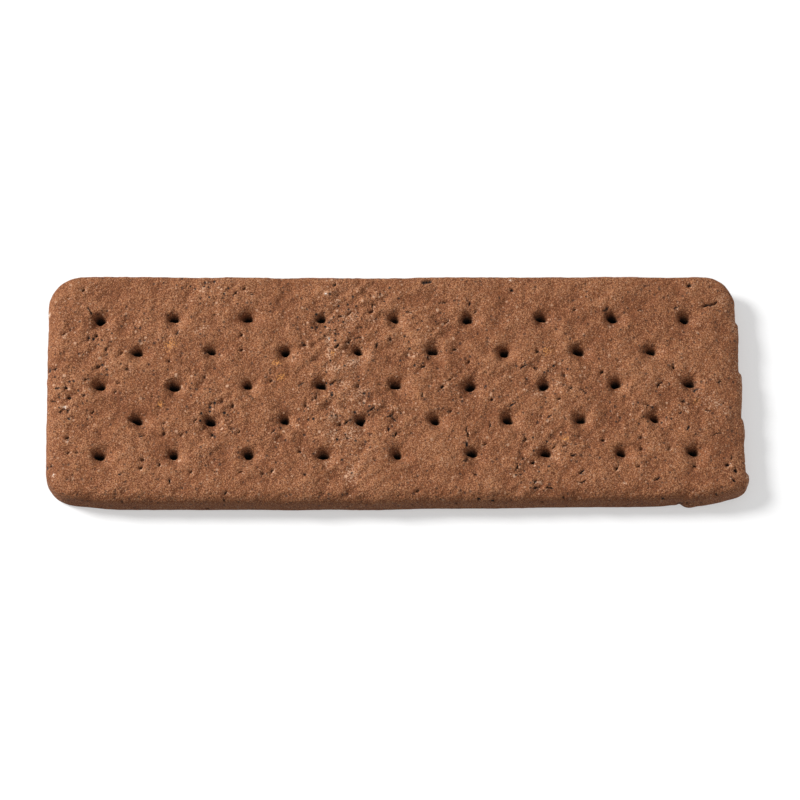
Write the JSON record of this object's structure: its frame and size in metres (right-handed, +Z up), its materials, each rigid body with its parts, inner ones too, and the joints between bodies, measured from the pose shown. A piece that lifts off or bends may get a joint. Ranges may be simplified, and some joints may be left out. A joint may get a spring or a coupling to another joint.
{
  "type": "cocoa biscuit",
  "caption": "Flat oblong cocoa biscuit with rounded corners, a rolled top edge and staggered docking holes, for eating or for layering round a filling.",
  "frame": {"origin": "centre of the outline, on the plane that the biscuit lies on", "axes": "+X along the biscuit, +Y across it, away from the viewer, +Z up out of its docked top"},
  "size_m": [0.12, 0.0422, 0.0053],
  "materials": {
    "cocoa_crumb": "matte, fine sandy baked cocoa crumb with small dark pits and paler rubbed spots"
  },
  "bodies": {
    "root": {"biscuit": "cocoa_crumb"}
  },
  "joints": []
}
